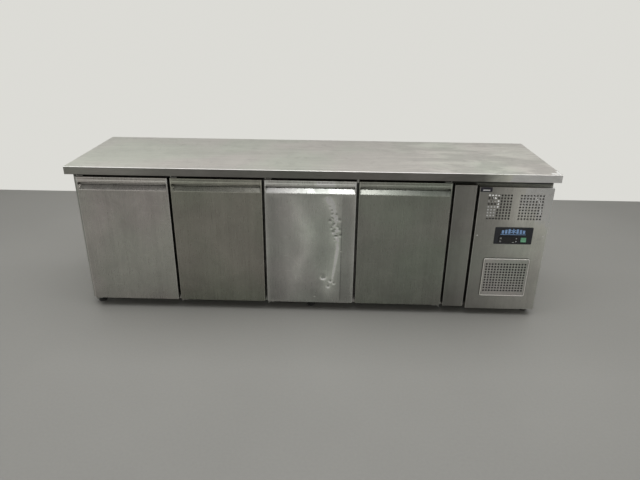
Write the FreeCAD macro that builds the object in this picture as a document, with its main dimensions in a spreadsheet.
"""Refrigerated counter with four hinged doors and a machine bay.

Millimetres. The origin is at floor level under the centre of the worktop.
+X runs to the machine bay end, -Y is the door side, +Z is up.
"""

import FreeCAD, Part
import math
import os

import Sketcher

X_AXIS = FreeCAD.Vector(1, 0, 0)
Y_AXIS = FreeCAD.Vector(0, 1, 0)
Z_AXIS = FreeCAD.Vector(0, 0, 1)

# ---------------------------------------------------------------------------
# Driving dimensions, kept in a spreadsheet
# ---------------------------------------------------------------------------

DIMENSIONS = {
    "length": 2230,
    "depth": 600,
    "height": 740,
    "metal": 1.2,
    "worktop_edge": 36,
    "worktop_hem": 20,
    "edge_round": 2.5,
    "foot_height": 35,
    "foot_radius": 20,
    "foot_inset": 30,
    "stud_radius": 5,
    "stud_length": 65,
    "end_overhang": 5,
    "back_overhang": 10,
    "face_setback": 37,
    "frame_setback": 75,
    "wall": 45,
    "door_width": 423,
    "door_height": 632,
    "door_depth": 30,
    "door_pitch": 435,
    "door_gap_above": 22,
    "first_door_x": -873,
    "door_corner": 5,
    "rim": 30,
    "lip_height": 28,
    "lip_depth": 2.4,
    "recess_depth": 15,
    "recess_rise": 24,
    "recess_bend": 8,
    "recess_roof": 8,
    "recess_gap": 34,
    "recess_cap": 6,
    "hinge_inset": 12,
    "hinge_setback": 14,
    "pin_radius": 3,
    "running_gap": 0.05,
    "gasket_inset": 13,
    "gasket_width": 14,
    "gasket_depth": 7.7,
    "plug_inset": 36,
    "plug_depth": 16,
    "shelf_level": 340,
    "shelf_width": 344,
    "shelf_depth": 400,
    "shelf_wire": 1.3,
    "shelf_rod": 3,
    "mullion_depth": 40,
    "cold_end": 762.2,
    "coil_wall": 619,
    "filler_left": 656,
    "filler_right": 755,
    "filler_bottom": 47,
    "filler_top": 675,
    "machine_left": 769,
    "machine_right": 1106,
    "machine_bottom": 37,
    "machine_top": 668,
    "vent_pitch": 14.2,
    "vent_hole": 8,
    "vent_top": 630,
    "grille_left": 829,
    "grille_bottom": 113,
    "grille_width": 219,
    "grille_height": 200.5,
    "bezel_left": 863.5,
    "bezel_bottom": 389.5,
    "bezel_width": 176.5,
    "bezel_height": 84.5,
    "bezel_depth": 3,
    "display_left": 884,
    "display_bottom": 397,
    "display_width": 91,
    "display_height": 31,
    "key_size": 9,
    "rocker_size": 26,
    "fan_radius": 78,
    "compressor_radius": 82,
}


class Size:
    """A size worked out from the sheet: its value, and the expression that keeps it bound."""

    def __init__(self, value, text):
        self.value = value
        self.text = text

    @staticmethod
    def of(number):
        return number if isinstance(number, Size) else Size(float(number), repr(float(number)))

    def combine(self, other, sign, value):
        return Size(value, f"({self.text} {sign} {other.text})")

    def __add__(self, other):
        other = Size.of(other)
        return self.combine(other, "+", self.value + other.value)

    def __sub__(self, other):
        other = Size.of(other)
        return self.combine(other, "-", self.value - other.value)

    def __mul__(self, other):
        other = Size.of(other)
        return self.combine(other, "*", self.value * other.value)

    def __truediv__(self, other):
        other = Size.of(other)
        return self.combine(other, "/", self.value / other.value)

    def __radd__(self, other):
        return Size.of(other) + self

    def __rsub__(self, other):
        return Size.of(other) - self

    def __rmul__(self, other):
        return Size.of(other) * self

    def __neg__(self):
        return Size.of(0) - self

    def root(self):
        return Size(math.sqrt(self.value), f"sqrt({self.text})")


class Dimensions:
    """The sheet's cells by name, each as a Size."""

    def __init__(self, doc):
        self.sheet = doc.addObject("Spreadsheet::Sheet", "Dims")
        for row, (alias, value) in enumerate(DIMENSIONS.items(), start=1):
            self.sheet.set(f"A{row}", alias)
            self.sheet.set(f"B{row}", str(value))
            self.sheet.setAlias(f"B{row}", alias)
        doc.recompute()

    def __getattr__(self, alias):
        return Size(float(self.sheet.get(alias)), f"Dims.{alias}")


doc = FreeCAD.newDocument("counter")
dim = Dimensions(doc)
nodes = []

# ---------------------------------------------------------------------------
# Levels and faces that several sub-parts share
# ---------------------------------------------------------------------------

half_length = dim.length / 2
top_front = -(dim.depth / 2)
top_back = dim.depth / 2
body_end = half_length - dim.end_overhang
body_back = top_back - dim.back_overhang
body_bottom = dim.foot_height
body_top = dim.height - dim.worktop_edge
face_y = top_front + dim.face_setback
frame_y = top_front + dim.frame_setback
frame_back = frame_y + dim.metal
door_top = body_top - dim.door_gap_above
door_bottom = door_top - dim.door_height
door_back = face_y + dim.door_depth
opening_half = dim.door_width / 2 - dim.rim
opening_bottom = door_bottom + dim.rim
opening_top = door_top - dim.rim
cold_left = -(body_end - dim.metal) + dim.wall + 3.8
cold_right = dim.coil_wall + 96
cold_back = body_back - dim.wall
skin_inside = body_end - dim.metal
base_top = body_bottom + dim.metal
back_inside = body_back - dim.metal
shelf_half = dim.shelf_width / 2
hinge_y = face_y + dim.hinge_setback

DOORS = (1, 2, 3, 4)
RIGHT_HUNG = (4,)
FEET_X = (-1, 0, 1)

# where the suction pipe passes from the machine bay into the cold space
pass_y = Size.of(180)
pass_z = Size.of(560)
pass_radius = 16

# where the mains lead would enter
gland_x = dim.machine_right - 60
gland_z = Size.of(90)
gland_radius = 10


def door_x(number):
    return dim.first_door_x + (number - 1) * dim.door_pitch


def hinge_x(number):
    side = 1 if number in RIGHT_HUNG else -1
    return door_x(number) + side * (dim.door_width / 2 - dim.hinge_inset)


# ---------------------------------------------------------------------------
# Building blocks
# ---------------------------------------------------------------------------


def bind(thing, prop, size):
    """Tie one property to the sheet."""
    size = Size.of(size)
    thing.setExpression(prop, size.text)


def place(thing, x, y, z):
    for letter, size in zip("xyz", (x, y, z)):
        bind(thing, f"Placement.Base.{letter}", size)


def box(name, x, y, z):
    """A box from its ranges along X, Y and Z."""
    thing = doc.addObject("Part::Box", name)
    for prop, (low, high) in zip(("Length", "Width", "Height"), (x, y, z)):
        bind(thing, prop, Size.of(high) - low)
    place(thing, x[0], y[0], z[0])
    return thing


AXIS_TURN = {
    "x": FreeCAD.Rotation(Y_AXIS, 90),
    "y": FreeCAD.Rotation(X_AXIS, -90),
    "z": FreeCAD.Rotation(),
}


def cylinder(name, axis, start, radius, length):
    """A cylinder that begins at start and runs along +X, +Y or +Z."""
    thing = doc.addObject("Part::Cylinder", name)
    thing.Placement.Rotation = AXIS_TURN[axis]
    bind(thing, "Radius", radius)
    bind(thing, "Height", length)
    place(thing, *start)
    return thing


def cut(name, base, *tools):
    thing = doc.addObject("Part::Cut", name)
    thing.Base = base
    thing.Tool = tools[0] if len(tools) == 1 else fuse(name + "_tools", *tools)
    return thing


def fuse(name, *shapes):
    thing = doc.addObject("Part::MultiFuse", name)
    thing.Shapes = list(shapes)
    return thing


def group(name, *shapes):
    """Separate solids that share one node."""
    thing = doc.addObject("Part::Compound", name)
    thing.Links = list(shapes)
    return thing


def rounded(name, base, radius, wanted):
    """Round the edges of base that wanted(edge) picks."""
    doc.recompute()
    thing = doc.addObject("Part::Fillet", name)
    thing.Base = base
    edges = base.Shape.Edges
    thing.Edges = [(i + 1, radius.value, radius.value) for i, edge in enumerate(edges) if wanted(edge)]
    return thing


def runs_along(edge, axis):
    """True for a straight edge along the axis."""
    if edge.Curve.TypeId != "Part::GeomLine":
        return False
    return abs(edge.tangentAt(edge.FirstParameter).dot(axis)) > 0.999


def round_front(name, base, radius, y):
    """Round the edges of base that lie in the plane of its front face."""
    level = y.value
    return rounded(name, base, Size.of(radius), lambda edge: abs(edge.CenterOfMass.y - level) < 0.1)


def tray(name, x, y, z, wall, open_side):
    """A folded sheet tray: a box hollowed from one open side, with its folds rounded."""
    outer = box(name + "_outer", x, y, z)
    if open_side == "+y":
        outer = round_front(name + "_folds", outer, 1.5, y[0])
    inner = []
    for axis, (low, high) in zip("xyz", (x, y, z)):
        low_wall = 0 if open_side == "-" + axis else wall
        high_wall = 0 if open_side == "+" + axis else wall
        inner.append((low + low_wall, high - high_wall))
    return cut(name, outer, box(name + "_inner", *inner))


def sketch_on(body, role, points, name, lift=0):
    """A closed outline on one of the body's origin planes, each corner bound to the sheet."""
    plane = next(f for f in body.Origin.OriginFeatures if f.Role == role)
    sketch = body.newObject("Sketcher::SketchObject", name)
    sketch.AttachmentSupport = (plane, [""])
    sketch.MapMode = "FlatFace"
    bind(sketch, "AttachmentOffset.Base.z", lift)
    points = [(Size.of(u), Size.of(v)) for u, v in points]
    corners = [FreeCAD.Vector(u.value, v.value, 0) for u, v in points]
    for start, end in zip(corners, corners[1:] + corners[:1]):
        sketch.addGeometry(Part.LineSegment(start, end))
    count = len(corners)
    for i in range(count):
        sketch.addConstraint(Sketcher.Constraint("Coincident", i, 2, (i + 1) % count, 1))
    for i, (u, v) in enumerate(points):
        for kind, size in (("DistanceX", u), ("DistanceY", v)):
            index = sketch.addConstraint(Sketcher.Constraint(kind, i, 1, size.value))
            sketch.setExpression(f"Constraints[{index}]", size.text)
    return sketch


def padded(name, role, points, length, lift=0):
    """A PartDesign body: an outline padded along its plane's normal."""
    body = doc.addObject("PartDesign::Body", name)
    sketch = sketch_on(body, role, points, name + "_outline", lift)
    pad = body.newObject("PartDesign::Pad", name + "_pad")
    pad.Profile = sketch
    bind(pad, "Length", length)
    return body


def turned(name, points):
    """A PartDesign body turned about Z from an outline of (radius, height) points."""
    body = doc.addObject("PartDesign::Body", name)
    sketch = sketch_on(body, "XZ_Plane", points, name + "_outline")
    turn = body.newObject("PartDesign::Revolution", name + "_turn")
    turn.Profile = sketch
    turn.ReferenceAxis = (sketch, ["V_Axis"])
    turn.Angle = 360
    return body


def node(name, thing):
    """Keep a finished sub-part; its label names its file."""
    thing.Label = name
    nodes.append(thing)
    return thing


def hole_field(name, first_x, top_z, columns, rows, y, depth):
    """A field of square vent holes, as one cutting shape; it hangs down from top_z."""
    side = dim.vent_hole.value
    tools = []
    for column in range(columns):
        for row in range(rows):
            x = first_x.value + column * dim.vent_pitch.value - side / 2
            z = top_z.value - row * dim.vent_pitch.value - side / 2
            tools.append(Part.makeBox(side, depth, side, FreeCAD.Vector(x, y.value, z)))
    thing = doc.addObject("Part::Feature", name)
    thing.Shape = Part.makeCompound(tools)
    return thing


def pipe(name, points, radius, bend):
    """A round pipe along straight runs joined by tangent arcs."""
    corners = [FreeCAD.Vector(*(Size.of(c).value for c in p)) for p in points]
    edges = []
    start = corners[0]
    for before, corner, after in zip(corners, corners[1:], corners[2:]):
        into = (corner - before).normalize()
        out = (after - corner).normalize()
        trim = bend * math.tan(into.getAngle(out) / 2)
        first = corner - into * trim
        last = corner + out * trim
        middle_way = (out - into).normalize()
        centre_gap = bend / math.cos(into.getAngle(out) / 2)
        middle = corner + middle_way * (centre_gap - bend)
        edges.append(Part.LineSegment(start, first).toShape())
        edges.append(Part.Arc(first, middle, last).toShape())
        start = last
    edges.append(Part.LineSegment(start, corners[-1]).toShape())
    path = Part.Wire(edges)
    section = Part.Wire(Part.makeCircle(radius, corners[0], corners[1] - corners[0]))
    thing = doc.addObject("Part::Feature", name)
    thing.Shape = path.makePipeShell([section], True, False)
    return thing


# ---------------------------------------------------------------------------
# Worktop
# ---------------------------------------------------------------------------


def make_worktop():
    outer = box(
        "worktop_block", (-half_length, half_length), (top_front, top_back), (body_top, dim.height)
    )
    top_level = dim.height.value
    soft = rounded(
        "worktop_rounded",
        outer,
        dim.edge_round,
        lambda edge: runs_along(edge, Z_AXIS) or edge.CenterOfMass.z > top_level - 1,
    )
    cavity_x = (-half_length + dim.metal, half_length - dim.metal)
    cavity_y = (top_front + dim.metal, top_back - dim.metal)
    cavity_z = (body_top + dim.metal, dim.height - dim.metal)
    cavity = box("worktop_cavity", cavity_x, cavity_y, cavity_z)
    window = box(
        "worktop_window",
        (-half_length + dim.worktop_hem, half_length - dim.worktop_hem),
        (top_front + dim.worktop_hem, top_back - dim.worktop_hem),
        (body_top - 1, body_top + dim.metal),
    )
    node("worktop", cut("worktop_pan", soft, cavity, window))
    core = box(
        "worktop_board",
        (-half_length + dim.metal * 2, half_length - dim.metal * 2),
        (top_front + dim.metal * 2, top_back - dim.metal * 2),
        cavity_z,
    )
    node("worktop_core", core)


# ---------------------------------------------------------------------------
# Cabinet shell, insulation and liner
# ---------------------------------------------------------------------------


def foot_places():
    """Name, X and Y of each levelling foot."""
    for index, side in enumerate(FEET_X, start=1):
        x = side * (body_end - dim.foot_inset)
        yield f"front_{index}", x, frame_y + dim.foot_inset
        yield f"back_{index}", x, body_back - dim.foot_inset


def make_outer_panels():
    y_range = (frame_y, body_back)
    z_range = (body_bottom, body_top)
    node("left_side_panel", box("left_side", (-body_end, -skin_inside), y_range, z_range))
    node("right_side_panel", box("right_side", (skin_inside, body_end), y_range, z_range))
    inside_x = (-skin_inside, skin_inside)
    back = box("back_sheet", inside_x, (back_inside, body_back), z_range)
    slots = [
        box(
            f"back_slot_{i}",
            (dim.machine_left + 60, dim.machine_right - 80),
            (back_inside - 1, body_back + 1),
            (240 + i * 28, 248 + i * 28),
        )
        for i in range(12)
    ]
    gland_hole = cylinder("gland_hole", "y", (gland_x, back_inside - 1, gland_z), gland_radius + 0.2, 4)
    node("back_panel", cut("back_panel_cut", back, *slots, gland_hole))
    base = box("base_sheet", inside_x, (frame_back, back_inside), (body_bottom, base_top))
    holes = [
        cylinder(f"base_hole_{name}", "z", (x, y, body_bottom - 1), dim.stud_radius + dim.running_gap, 5)
        for name, x, y in foot_places()
    ]
    node("base_panel", cut("base_panel_cut", base, *holes))
    partition = box(
        "partition_sheet",
        (dim.cold_end - dim.metal, dim.cold_end),
        (frame_back, back_inside),
        (base_top, body_top),
    )
    passage = cylinder("partition_passage", "x", (dim.cold_end - 5, pass_y, pass_z), pass_radius, 10)
    node("partition_panel", cut("partition_cut", partition, passage))


def make_insulation():
    foam_right = dim.cold_end - dim.metal
    outer = box("foam_outer", (-skin_inside, foam_right), (frame_back, back_inside), (base_top, body_top))
    hollow = box(
        "foam_hollow",
        (cold_left - 1, cold_right + 1),
        (frame_back - 1, cold_back + 1),
        (opening_bottom - 1, opening_top + 1),
    )
    wells = [
        cylinder(f"foam_well_{name}", "z", (x, y, body_bottom), dim.stud_radius + 1, dim.stud_length - 30)
        for name, x, y in foot_places()
        if x.value < foam_right.value
    ]
    passage = cylinder("foam_passage", "x", (cold_right, pass_y, pass_z), pass_radius, 60)
    node("insulation", cut("insulation_cut", outer, hollow, passage, *wells))


def make_liner():
    shell = box(
        "liner_outer",
        (cold_left - 1, cold_right + 1),
        (frame_back, cold_back + 1),
        (opening_bottom - 1, opening_top + 1),
    )
    inside = box(
        "liner_inside",
        (cold_left, cold_right),
        (frame_back - 1, cold_back),
        (opening_bottom, opening_top),
    )
    passage = cylinder("liner_passage", "x", (cold_right - 5, pass_y, pass_z), pass_radius, 10)
    node("liner", cut("liner_cut", shell, inside, passage))


def make_front_frame():
    plate = box("frame_plate", (-skin_inside, skin_inside), (frame_y, frame_back), (base_top, body_top))
    openings = [
        box(
            f"frame_opening_{n}",
            (door_x(n) - opening_half, door_x(n) + opening_half),
            (frame_y - 1, frame_back + 1),
            (opening_bottom, opening_top),
        )
        for n in DOORS
    ]
    machine_opening = box(
        "frame_opening_machine",
        (dim.machine_left + 10, dim.machine_right - 12),
        (frame_y - 1, frame_back + 1),
        (dim.machine_bottom + 20, dim.machine_top - 12),
    )
    node("front_frame", cut("frame_cut", plate, *openings, machine_opening))
    posts = []
    for n in DOORS[:-1]:
        middle = (door_x(n) + door_x(n + 1)) / 2
        half = dim.door_pitch / 2 - opening_half
        posts.append(
            box(
                f"post_{n}",
                (middle - half, middle + half),
                (frame_back, frame_back + dim.mullion_depth),
                (opening_bottom, opening_top),
            )
        )
    node("mullions", group("mullion_group", *posts))


# ---------------------------------------------------------------------------
# Fixed front panels, controls and grille
# ---------------------------------------------------------------------------


def make_filler_panel():
    outer = tray(
        "filler",
        (dim.filler_left, dim.filler_right),
        (face_y, frame_y),
        (dim.filler_bottom, dim.filler_top),
        dim.metal,
        "+y",
    )
    node("filler_panel", outer)


def vent_fields():
    """First hole column of each upper vent field."""
    return (dim.machine_left + 48, dim.machine_left + 193)


def make_machine_panel():
    shell = tray(
        "machine_shell",
        (dim.machine_left, dim.machine_right),
        (face_y, frame_y),
        (dim.machine_bottom, dim.machine_top),
        dim.metal,
        "+y",
    )
    fields = [
        hole_field(f"vent_field_{i}", first, dim.vent_top, 8, 9, face_y - 1, 4)
        for i, first in enumerate(vent_fields(), start=1)
    ]
    through = (face_y - 1, face_y + 4)
    air_window = box(
        "air_window",
        (dim.grille_left + 10, dim.grille_left + dim.grille_width - 10),
        through,
        (dim.grille_bottom + 10, dim.grille_bottom + dim.grille_height - 10),
    )
    control_window = box(
        "control_window",
        (dim.display_left + 2, dim.display_left + dim.display_width - 2),
        through,
        (dim.display_bottom + 1, dim.display_bottom + dim.display_height - 1),
    )
    rocker_window = box("rocker_window", rocker_x(2), through, rocker_z(2))
    node(
        "machine_front_panel",
        cut("machine_panel_cut", shell, *fields, air_window, control_window, rocker_window),
    )


def rocker_x(margin):
    """X range of the rocker switch's mouth, widened by margin."""
    left = dim.display_left + dim.display_width + 12
    return (left - margin, left + dim.rocker_size + margin)


def rocker_z(margin):
    middle = dim.display_bottom + dim.display_height / 2
    return (middle - dim.rocker_size / 2 - margin, middle + dim.rocker_size / 2 + margin)


def key_places():
    """Name, X centre and Z centre of the four controller keys."""
    left = dim.display_left + dim.key_size
    right = dim.display_left + dim.display_width - dim.key_size
    low = dim.display_bottom + dim.display_height / 4
    high = dim.display_bottom + dim.display_height * 0.75
    return (
        ("key_set", left, high),
        ("key_lamp", left, low),
        ("key_up", right, high),
        ("key_down", right, low),
    )


def make_controls():
    bezel_front = face_y - dim.bezel_depth
    block = box(
        "bezel_block",
        (dim.bezel_left, dim.bezel_left + dim.bezel_width),
        (bezel_front, face_y),
        (dim.bezel_bottom, dim.bezel_bottom + dim.bezel_height),
    )
    soft = rounded("bezel_rounded", block, Size.of(4), lambda edge: runs_along(edge, Y_AXIS))
    softer = round_front("bezel_edges", soft, 1, bezel_front)
    rocker_mouth = box("bezel_rocker_mouth", rocker_x(2), (bezel_front - 1, face_y + 1), rocker_z(2))
    node("control_bezel", cut("bezel_cut", softer, rocker_mouth))

    window_depth = 3
    window_front = bezel_front - window_depth
    display_x = (dim.display_left, dim.display_left + dim.display_width)
    display_z = (dim.display_bottom, dim.display_bottom + dim.display_height)
    plate = box("display_plate", display_x, (window_front, bezel_front), display_z)
    plate = rounded("display_rounded", plate, Size.of(2), lambda edge: runs_along(edge, Y_AXIS))
    key_holes = []
    for name, x, z in key_places():
        half = dim.key_size / 2 + 0.3
        through = (window_front - 1, bezel_front + 1)
        key_holes.append(box(name + "_hole", (x - half, x + half), through, (z - half, z + half)))
    node("display_window", cut("display_cut", plate, *key_holes))
    for name, x, z in key_places():
        half = dim.key_size / 2
        thick = (window_front - 0.6, window_front + 1.6)
        key = box(name + "_block", (x - half, x + half), thick, (z - half, z + half))
        node(name, rounded(name + "_cap", key, Size.of(0.8), lambda edge: runs_along(edge, Y_AXIS)))

    housing = box(
        "controller_block",
        (dim.display_left + 3, dim.display_left + dim.display_width - 3),
        (face_y, face_y + 36),
        (dim.display_bottom + 2, dim.display_bottom + dim.display_height - 2),
    )
    node("controller_housing", housing)
    make_rocker_switch(bezel_front)


def make_rocker_switch(bezel_front):
    pivot_y = bezel_front + 4
    pivot_z = dim.display_bottom + dim.display_height / 2
    flange = box("switch_flange", rocker_x(3), (bezel_front - 2, bezel_front), rocker_z(3))
    barrel = box("switch_barrel", rocker_x(2), (bezel_front - 2, face_y + 32), rocker_z(2))
    mouth = box("switch_mouth", rocker_x(0), (bezel_front - 3, face_y + 20), rocker_z(0))
    left, right = rocker_x(0)
    pin_reach = 1.4
    bore = cylinder(
        "switch_bore",
        "x",
        (left - pin_reach - 0.2, pivot_y, pivot_z),
        1.5 + dim.running_gap,
        dim.rocker_size + 2 * (pin_reach + 0.2),
    )
    node("switch_housing", cut("switch_cut", fuse("switch_solid", flange, barrel), mouth, bore))
    # a shallow V across the front, so that one half stands proud while the other lies flush
    outline = [(-7, -11), (3, -6), (3, 6), (-7, 11), (-5.6, 0)]
    paddle = padded("rocker_paddle", "YZ_Plane", outline, dim.rocker_size - 1)
    tilt = FreeCAD.Rotation(X_AXIS, -8)
    paddle.Placement.Rotation = tilt
    place(paddle, left + 0.5, pivot_y, pivot_z)
    pin_length = dim.rocker_size + 2 * pin_reach
    pin = cylinder("rocker_pin", "x", (left - pin_reach, pivot_y, pivot_z), 1.5, pin_length)
    node("rocker_switch", fuse("rocker", paddle, pin))


def make_condenser_grille():
    x = (dim.grille_left, dim.grille_left + dim.grille_width)
    z = (dim.grille_bottom, dim.grille_bottom + dim.grille_height)
    front = face_y - 4
    block = box("grille_block", x, (front, face_y - 0.3), z)
    soft = rounded("grille_corners", block, Size.of(8), lambda edge: runs_along(edge, Y_AXIS))
    softer = round_front("grille_edges", soft, 2, front)
    hollow = box(
        "grille_hollow",
        (x[0] + 4, x[1] - 4),
        (front + dim.metal, face_y),
        (z[0] + 4, z[1] - 4),
    )
    first = (x[0] + x[1]) / 2 - dim.vent_pitch * 6.5
    top_row = (z[0] + z[1]) / 2 + dim.vent_pitch * 5
    holes = hole_field("grille_holes", first, top_row, 14, 11, front - 1, 4)
    plate = cut("grille_plate", softer, hollow, holes)
    catch = cylinder("grille_catch", "y", ((x[0] + x[1]) / 2, front - 1.2, z[1] - 9), 4, 3)
    tongue_y = (front + 1, face_y + 8)
    tongue_z = (z[0] + 11, z[0] + 13)
    tongues = [
        box(f"grille_tongue_{side}", (centre - 5, centre + 5), tongue_y, tongue_z)
        for side, centre in (("left", x[0] + 60), ("right", x[1] - 60))
    ]
    node("condenser_grille", fuse("grille", plate, catch, *tongues))


# ---------------------------------------------------------------------------
# Doors
# ---------------------------------------------------------------------------


def recess_tool(name, x_low, x_high, grow):
    """The finger recess behind the door's top lip, as a prism along X; grow thickens it by a wall."""
    lip_bottom = door_top - dim.lip_height
    floor = lip_bottom - dim.recess_gap
    roof = door_top - dim.recess_roof
    depth = dim.recess_depth
    steepness = dim.recess_rise / depth
    # a wall of thickness grow under the slope lowers it by this much, measured upright
    drop = grow * (steepness * steepness + 1).root()
    # local axes: depth behind the door's face, and height above the foot of the slope
    outline = [
        (-2, steepness * -2 - drop),
        (depth + grow, steepness * (depth + grow) - drop),
        (depth + grow, roof - floor + grow),
        (grow if grow.value else dim.lip_depth, roof - floor + grow),
    ]
    if grow.value:
        outline.append((-2, roof - floor + grow))
    else:
        outline += [(dim.lip_depth, lip_bottom - floor), (-2, lip_bottom - floor)]
    body = padded(name, "YZ_Plane", outline, x_high - x_low)
    place(body, x_low, face_y, floor)
    return body


def hinge_bores(number, prefix):
    """The holes for the two hinge pins, top and bottom."""
    radius = dim.pin_radius + dim.running_gap
    x = hinge_x(number)
    top = cylinder(f"{prefix}_bore_top", "z", (x, hinge_y, door_top - 6.6), radius, 8)
    bottom = cylinder(f"{prefix}_bore_bottom", "z", (x, hinge_y, door_bottom - 1), radius, 12)
    return top, bottom


def make_door(number):
    half = dim.door_width / 2
    left = door_x(number) - half
    right = door_x(number) + half
    name = f"door_{number}"
    full = box(name + "_full", (left, right), (face_y, door_back), (door_bottom, door_top))
    low_level = door_bottom.value
    corners = rounded(
        name + "_corners",
        full,
        dim.door_corner,
        lambda edge: runs_along(edge, Y_AXIS) and abs(edge.CenterOfMass.z - low_level) < 1,
    )
    soft = round_front(name + "_soft", corners, 1.5, face_y)
    recess = recess_tool(name + "_recess", left + dim.recess_cap, right - dim.recess_cap, Size.of(0))
    inside = box(
        name + "_inside",
        (left + dim.metal, right - dim.metal),
        (face_y + dim.metal, door_back + 1),
        (door_bottom + dim.metal, door_top - dim.metal),
    )
    wall = recess_tool(
        name + "_wall", left + dim.recess_cap - dim.metal, right - dim.recess_cap + dim.metal, dim.metal
    )
    hollow = cut(name + "_hollow", inside, wall)
    pan = cut(name + "_pan", soft, recess, hollow, *hinge_bores(number, name + "_skin"))
    front = face_y.value
    slope_foot = (door_top - dim.lip_height - dim.recess_gap).value
    bent = rounded(
        name + "_bent",
        pan,
        dim.recess_bend,
        lambda edge: runs_along(edge, X_AXIS)
        and abs(edge.CenterOfMass.y - front) < 0.1
        and abs(edge.CenterOfMass.z - slope_foot) < 0.1,
    )
    node(name + "_skin", bent)

    slab = box(
        name + "_slab",
        (left + dim.metal * 2, right - dim.metal * 2),
        (face_y + dim.metal * 2, door_back),
        (door_bottom + dim.metal * 2, door_top - dim.metal * 2),
    )
    room = recess_tool(
        name + "_room", left + dim.recess_cap - dim.metal, right - dim.recess_cap + dim.metal, dim.metal * 2
    )
    slab = cut(name + "_foam", slab, room)
    plug = box(
        name + "_plug_block",
        (left + dim.plug_inset, right - dim.plug_inset),
        (door_back - 1, door_back + dim.plug_depth),
        (door_bottom + dim.plug_inset, door_top - dim.plug_inset),
    )
    back_level = (door_back + dim.plug_depth).value
    plug = rounded(name + "_plug", plug, Size.of(6), lambda edge: edge.CenterOfMass.y > back_level - 0.1)
    inner = cut(name + "_core", fuse(name + "_inner", slab, plug), *hinge_bores(number, name + "_core"))
    node(name + "_inner_panel", inner)

    ring_x = (left + dim.gasket_inset, right - dim.gasket_inset)
    ring_y = (door_back, door_back + dim.gasket_depth)
    ring_z = (door_bottom + dim.gasket_inset, door_top - dim.gasket_inset)
    ring = box(name + "_ring", ring_x, ring_y, ring_z)
    gap = dim.gasket_width
    hole = box(
        name + "_ring_hole",
        (ring_x[0] + gap, ring_x[1] - gap),
        (ring_y[0] - 1, ring_y[1] + 1),
        (ring_z[0] + gap, ring_z[1] - gap),
    )
    node(name + "_gasket", cut(name + "_seal", ring, hole))


# ---------------------------------------------------------------------------
# Hinges and screws
# ---------------------------------------------------------------------------

BRACKET_METAL = 3
BRACKET_GAP = 2


def make_hinges():
    pieces = []
    for number in DOORS:
        inward = -1 if number in RIGHT_HUNG else 1
        x = hinge_x(number)
        ends = (x - inward * 9, x + inward * 21)
        x_range = ends if inward > 0 else ends[::-1]
        web = (ends[0], ends[0] + inward * BRACKET_METAL)
        web_range = web if inward > 0 else web[::-1]
        for end, plate_low, flange in (
            ("top", door_top + BRACKET_GAP, (door_top + BRACKET_GAP, body_top)),
            ("bottom", door_bottom - BRACKET_GAP - BRACKET_METAL, (base_top, door_bottom - BRACKET_GAP)),
        ):
            name = f"hinge_{number}_{end}"
            front = hinge_y - 8
            arm = box(name + "_arm", x_range, (front, frame_y), (plate_low, plate_low + BRACKET_METAL))
            back = box(name + "_flange", x_range, (frame_y - BRACKET_METAL, frame_y), flange)
            side = box(name + "_web", web_range, (front, frame_y), flange)
            pin_low = door_top - 6 if end == "top" else plate_low
            pin_length = 6 + BRACKET_GAP + BRACKET_METAL if end == "top" else 14
            pin = cylinder(name + "_pin", "z", (x, hinge_y, pin_low), dim.pin_radius, pin_length)
            pieces.append(fuse(name, arm, back, side, pin))
    node("hinges", group("hinge_group", *pieces))


def screw(name, x, z, y):
    """A pan-head screw seen from the door side; its head sits on the plane y."""
    head = cylinder(name + "_head", "y", (x, y - 2, z), 3.5, 2)
    shank = cylinder(name + "_shank", "y", (x, y - 0.5, z), 1.6, 0.5)
    slot = box(name + "_slot", (x - 3, x + 3), (y - 3, y - 1.2), (z - 0.5, z + 0.5))
    return cut(name, fuse(name + "_solid", head, shank), slot)


def make_screws():
    pieces = []
    for number in DOORS:
        inward = -1 if number in RIGHT_HUNG else 1
        for step in (5, 14):
            x = hinge_x(number) + inward * step
            name = f"screw_{number}_{step}"
            pieces.append(screw(name, x, door_top + 14, frame_y - BRACKET_METAL))
    side_level = dim.display_bottom + 34
    pieces.append(screw("screw_panel_left", dim.machine_left + 14, side_level, face_y))
    pieces.append(screw("screw_panel_right", dim.machine_right - 14, side_level, face_y))
    node("screws", group("screw_group", *pieces))


# ---------------------------------------------------------------------------
# Shelves and their supports
# ---------------------------------------------------------------------------

PILASTER_THICK = 10
PILASTER_WIDE = 20
shelf_front = frame_back + dim.mullion_depth + 6
pilaster_in = shelf_half + 5


def make_shelf(number):
    middle = door_x(number)
    rod = dim.shelf_rod
    level = dim.shelf_level
    y_low = shelf_front + rod
    y_high = shelf_front + dim.shelf_depth - rod
    x_low = middle - shelf_half + rod
    x_high = middle + shelf_half - rod
    name = f"shelf_{number}"
    rods = []
    for i, y in enumerate((y_low, (y_low + y_high) / 2, y_high)):
        rods.append(cylinder(f"{name}_rod_{i}", "x", (x_low - rod, y, level), rod, x_high - x_low + 2 * rod))
    reach = y_high - y_low
    for side, x in (("left", x_low), ("right", x_high)):
        rods.append(cylinder(f"{name}_{side}_rod", "y", (x, y_low - rod, level), rod, reach + 2 * rod))
    wires = 17
    lift = rod + dim.shelf_wire - 0.6
    for i in range(wires):
        x = x_low + (x_high - x_low) * ((i + 1) / (wires + 1))
        start = (x, y_low - 2, level + lift)
        rods.append(cylinder(f"{name}_wire_{i}", "y", start, dim.shelf_wire, reach + 4))
    node(name, fuse(name + "_grid", *rods))


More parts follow.
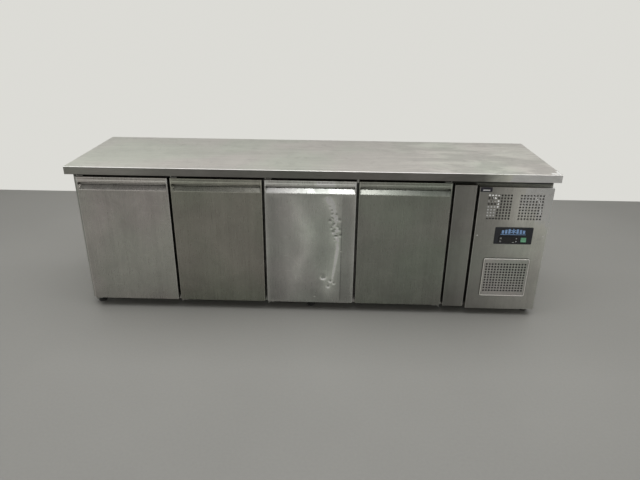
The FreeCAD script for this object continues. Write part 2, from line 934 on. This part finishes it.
def make_shelf_supports():
    pieces = []
    clip_top = dim.shelf_level - dim.shelf_rod
    for number in DOORS:
        middle = door_x(number)
        for side, sign in (("left", -1), ("right", 1)):
            near = middle + sign * pilaster_in
            far = near + sign * PILASTER_THICK
            x_range = (near, far) if sign > 0 else (far, near)
            tip = near - sign * 12
            clip_x = (tip, near + 1) if sign > 0 else (near - 1, tip)
            for end, y in (
                ("front", frame_back + dim.mullion_depth),
                ("back", cold_back - PILASTER_WIDE),
            ):
                name = f"pilaster_{number}_{side}_{end}"
                strip = box(name + "_strip", x_range, (y, y + PILASTER_WIDE), (opening_bottom, opening_top))
                groove = box(
                    name + "_groove",
                    (x_range[0] + 2, x_range[1] - 2),
                    (y + 4, y + PILASTER_WIDE - 4),
                    (opening_bottom - 1, opening_top + 1),
                )
                pieces.append(cut(name, strip, groove))
                clip_y = (y + 2, y + PILASTER_WIDE - 2)
                clip = box(name + "_clip", clip_x, clip_y, (clip_top - 5, clip_top))
                pieces.append(cut(name + "_clip_cut", clip, strip))
    node("shelf_supports", group("support_group", *pieces))


# ---------------------------------------------------------------------------
# Refrigeration
# ---------------------------------------------------------------------------


def finned_coil(name, x, y, z, fins, tubes, across):
    """A block of thin fins threaded by tubes. across is the axis that the fins are stacked along."""
    pieces = []
    low, high = x if across == "x" else y
    step = (high - low) / fins
    for i in range(fins):
        start = low + step * i + step / 2
        span = (start - 0.5, start + 0.5)
        fin_x, fin_y = (span, y) if across == "x" else (x, span)
        pieces.append(box(f"{name}_fin_{i}", fin_x, fin_y, z))
    for i in range(tubes):
        level = z[0] + (z[1] - z[0]) * ((i + 0.5) / tubes)
        if across == "x":
            start = (low, (y[0] + y[1]) / 2, level)
        else:
            start = ((x[0] + x[1]) / 2, low, level)
        pieces.append(cylinder(f"{name}_tube_{i}", across, start, 5, high - low))
    return fuse(name, *pieces)


def fan_blades(name, axis, centre, radius, blades):
    """A fan with pitched blades around a hub, turning about the axis through centre."""
    hub_radius = radius.value * 0.24
    hub = Part.makeCylinder(hub_radius, 22, FreeCAD.Vector(0, 0, -11), Z_AXIS)
    shape = hub
    root = hub_radius - 4
    for i in range(blades):
        blade = Part.makeBox(radius.value - root, 34, 1.6, FreeCAD.Vector(root, -17, -0.8))
        blade.rotate(FreeCAD.Vector(0, 0, 0), X_AXIS, 28)
        blade.rotate(FreeCAD.Vector(0, 0, 0), Z_AXIS, i * 360 / blades)
        shape = shape.fuse(blade)
    shape = shape.common(Part.makeCylinder(radius.value, 40, FreeCAD.Vector(0, 0, -20), Z_AXIS))
    bore = Part.makeCylinder(4 + dim.running_gap.value, 12, FreeCAD.Vector(0, 0, 0), Z_AXIS)
    thing = doc.addObject("Part::Feature", name)
    thing.Shape = shape.cut(bore)
    thing.Placement.Rotation = AXIS_TURN[axis]
    place(thing, *centre)
    return thing


fan_level = Size.of(470)
fan_depth = Size.of(30)
coil_side = dim.coil_wall


def make_evaporator():
    plate = box(
        "coil_cover_plate",
        (coil_side, coil_side + dim.metal),
        (frame_back + dim.mullion_depth, cold_back),
        (opening_bottom, opening_top),
    )
    fan_hole = cylinder("coil_fan_hole", "x", (coil_side - 1, fan_depth, fan_level), dim.fan_radius + 4, 4)
    returns = [
        box(f"coil_return_{i}", (coil_side - 1, coil_side + 4), (-120, 180), (110 + i * 18, 118 + i * 18))
        for i in range(6)
    ]
    cover = cut("coil_cover_cut", plate, fan_hole, *returns)
    guard = [
        cylinder(f"guard_bar_{i}", "y", (coil_side + 0.6, fan_depth - 90, fan_level + 25 * i), 1.2, 180)
        for i in (-2, -1, 0, 1, 2)
    ]
    node("evaporator_cover", fuse("coil_cover", cover, *guard))
    fan_x = coil_side + 18
    node("evaporator_fan", fan_blades("coil_fan", "x", (fan_x, fan_depth, fan_level), dim.fan_radius, 5))
    body = cylinder("coil_motor_body", "x", (fan_x + 15, fan_depth, fan_level), 26, 18)
    shaft = cylinder("coil_motor_shaft", "x", (fan_x + 1, fan_depth, fan_level), 4, 20)
    bar_y = (fan_depth - 95, fan_depth + 95)
    foot = box("coil_motor_foot", (fan_x + 27, fan_x + 30), bar_y, (fan_level - 12, fan_level + 12))
    node("evaporator_fan_motor", fuse("coil_motor", body, shaft, foot))
    coil = finned_coil(
        "evaporator_block",
        (coil_side + 52, cold_right - 3),
        (-150, 200),
        (120, 600),
        30,
        6,
        "y",
    )
    node("evaporator_coil", coil)


condenser_x = Size.of(938)
condenser_z = Size.of(212)


def make_condenser():
    coil = finned_coil(
        "condenser_block",
        (condenser_x - 125, condenser_x + 125),
        (-205, -165),
        (90, 335),
        30,
        7,
        "x",
    )
    node("condenser_coil", coil)
    duct = tray("duct", (condenser_x - 128, condenser_x + 128), (-163, -131), (87, 338), Size.of(1.5), "-y")
    duct_hole = cylinder("duct_hole", "y", (condenser_x, -136, condenser_z), dim.fan_radius + 4, 10)
    node("condenser_shroud", cut("duct_cut", duct, duct_hole))
    fan_y = Size.of(-140)
    node("condenser_fan", fan_blades("air_fan", "y", (condenser_x, fan_y, condenser_z), dim.fan_radius, 5))
    body = cylinder("air_motor_body", "y", (condenser_x, fan_y + 15, condenser_z), 32, 45)
    shaft = cylinder("air_motor_shaft", "y", (condenser_x, fan_y + 1, condenser_z), 4, 20)
    strap_z = (condenser_z - 9, condenser_z + 9)
    strap_end = fan_y + 43
    bar = box("air_motor_bar", (condenser_x - 100, condenser_x + 100), (fan_y + 40, strap_end), strap_z)
    arms = [
        box(f"air_motor_arm_{end}", (condenser_x + end - 3, condenser_x + end), (-131, strap_end), strap_z)
        for end in (-97, 100)
    ]
    node("condenser_fan_motor", fuse("air_motor", body, shaft, bar, *arms))


compressor_x = Size.of(915)
compressor_y = Size.of(130)
compressor_floor = base_top + 22
compressor_top = compressor_floor + 180


def make_compressor():
    radius = dim.compressor_radius
    outline = [
        (0, 0),
        (radius - 14, 0),
        (radius - 4, 8),
        (radius - 2, 84),
        (radius + 3, 86),
        (radius + 3, 92),
        (radius - 2, 94),
        (radius - 6, 140),
        (radius - 26, 168),
        (radius - 50, 178),
        (0, 180),
    ]
    pot = turned("compressor_pot", outline)
    floor = compressor_floor
    place(pot, compressor_x, compressor_y, floor)
    feet = box(
        "compressor_feet",
        (compressor_x - 98, compressor_x + 98),
        (compressor_y - 60, compressor_y + 60),
        (floor - 4, floor + 2),
    )
    terminal = box(
        "compressor_terminal",
        (compressor_x + radius - 12, compressor_x + radius + 26),
        (compressor_y - 28, compressor_y + 28),
        (floor + 52, floor + 112),
    )
    mounts = [
        cylinder(f"mount_{dx}_{dy}", "z", (compressor_x + dx, compressor_y + dy, base_top), 12, 19)
        for dx in (-84, 84)
        for dy in (-46, 46)
    ]
    node("compressor", fuse("compressor_unit", pot, feet, terminal, *mounts))
    return pot


def make_pipework(compressor_pot):
    drier_x = dim.machine_left + 262
    stages = (("body", 13, 0, 90), ("low_neck", 6, -16, 17), ("high_neck", 6, 89, 17))
    parts = [
        cylinder(f"drier_{name}", "z", (drier_x, 20, 380 + start), radius, length)
        for name, radius, start, length in stages
    ]
    node("filter_drier", fuse("drier", *parts))
    discharge_x = compressor_x - 30
    crossing_x = compressor_x - 90
    crossing_z = compressor_top + 58
    coil_back_y = -185
    discharge = pipe(
        "discharge_pipe",
        [
            (discharge_x, compressor_y, compressor_top - 20),
            (discharge_x, compressor_y, crossing_z),
            (crossing_x, compressor_y, crossing_z),
            (crossing_x, -120, crossing_z),
            (crossing_x, -120, 360),
            (crossing_x, coil_back_y, 360),
            (crossing_x, coil_back_y, 336),
        ],
        4,
        12,
    )
    suction_x = compressor_x + 30
    suction = pipe(
        "suction_pipe",
        [
            (suction_x, compressor_y, compressor_top - 20),
            (suction_x, compressor_y, pass_z),
            (suction_x, pass_y, pass_z),
            (cold_right - 3, pass_y, pass_z),
        ],
        6,
        14,
    )
    runs = [cut(f"pipe_run_{i}", run, compressor_pot) for i, run in enumerate((discharge, suction))]
    node("refrigerant_pipes", group("pipe_group", *runs))


def make_cable_gland():
    stem = cylinder("gland_stem", "y", (gland_x, back_inside - 10, gland_z), gland_radius, 12)
    nut = cylinder("gland_nut", "y", (gland_x, body_back, gland_z), gland_radius + 4, 7)
    lock = cylinder("gland_lock", "y", (gland_x, back_inside - 8, gland_z), gland_radius + 4, 8)
    bore = cylinder("gland_bore", "y", (gland_x, back_inside - 12, gland_z), 4, 30)
    node("cable_gland", cut("gland_cut", fuse("gland", stem, nut, lock), bore))


# ---------------------------------------------------------------------------
# Levelling feet
# ---------------------------------------------------------------------------


def make_feet():
    pad_radius = dim.foot_radius
    stud = dim.stud_radius
    for name, x, y in foot_places():
        outline = [
            (0, 0),
            (pad_radius - 2, 0),
            (pad_radius, 2),
            (pad_radius, 9),
            (pad_radius - 5, 15),
            (stud + 5, 18),
            (stud + 5, 26),
            (stud, 26),
            (stud, dim.stud_length),
            (0, dim.stud_length),
        ]
        foot = turned(f"foot_{name}_body", outline)
        place(foot, x, y, 0)
        node(f"foot_{name}", foot)


# ---------------------------------------------------------------------------
# Build, check and write
# ---------------------------------------------------------------------------


def check_and_write():
    doc.recompute()
    faults = [thing.Name for thing in doc.Objects if {"Invalid", "Error"} & set(thing.State)]
    for thing in nodes:
        shape = thing.Shape
        if shape.isNull() or not shape.isValid() or not shape.Solids:
            faults.append(f"{thing.Label} has no valid solid")
    if faults:
        raise RuntimeError("; ".join(faults))
    os.makedirs("parts", exist_ok=True)
    for thing in nodes:
        thing.Shape.exportStep(f"parts/{thing.Label}.step")
        print(f"{thing.Label}: {len(thing.Shape.Solids)} solids, {thing.Shape.Volume / 1000:.1f} cm3")


make_worktop()
make_outer_panels()
make_insulation()
make_liner()
make_front_frame()
make_filler_panel()
make_machine_panel()
make_controls()
make_condenser_grille()
for door in DOORS:
    make_door(door)
make_hinges()
make_screws()
for door in DOORS:
    make_shelf(door)
make_shelf_supports()
make_evaporator()
make_condenser()
make_pipework(make_compressor())
make_cable_gland()
make_feet()
check_and_write()
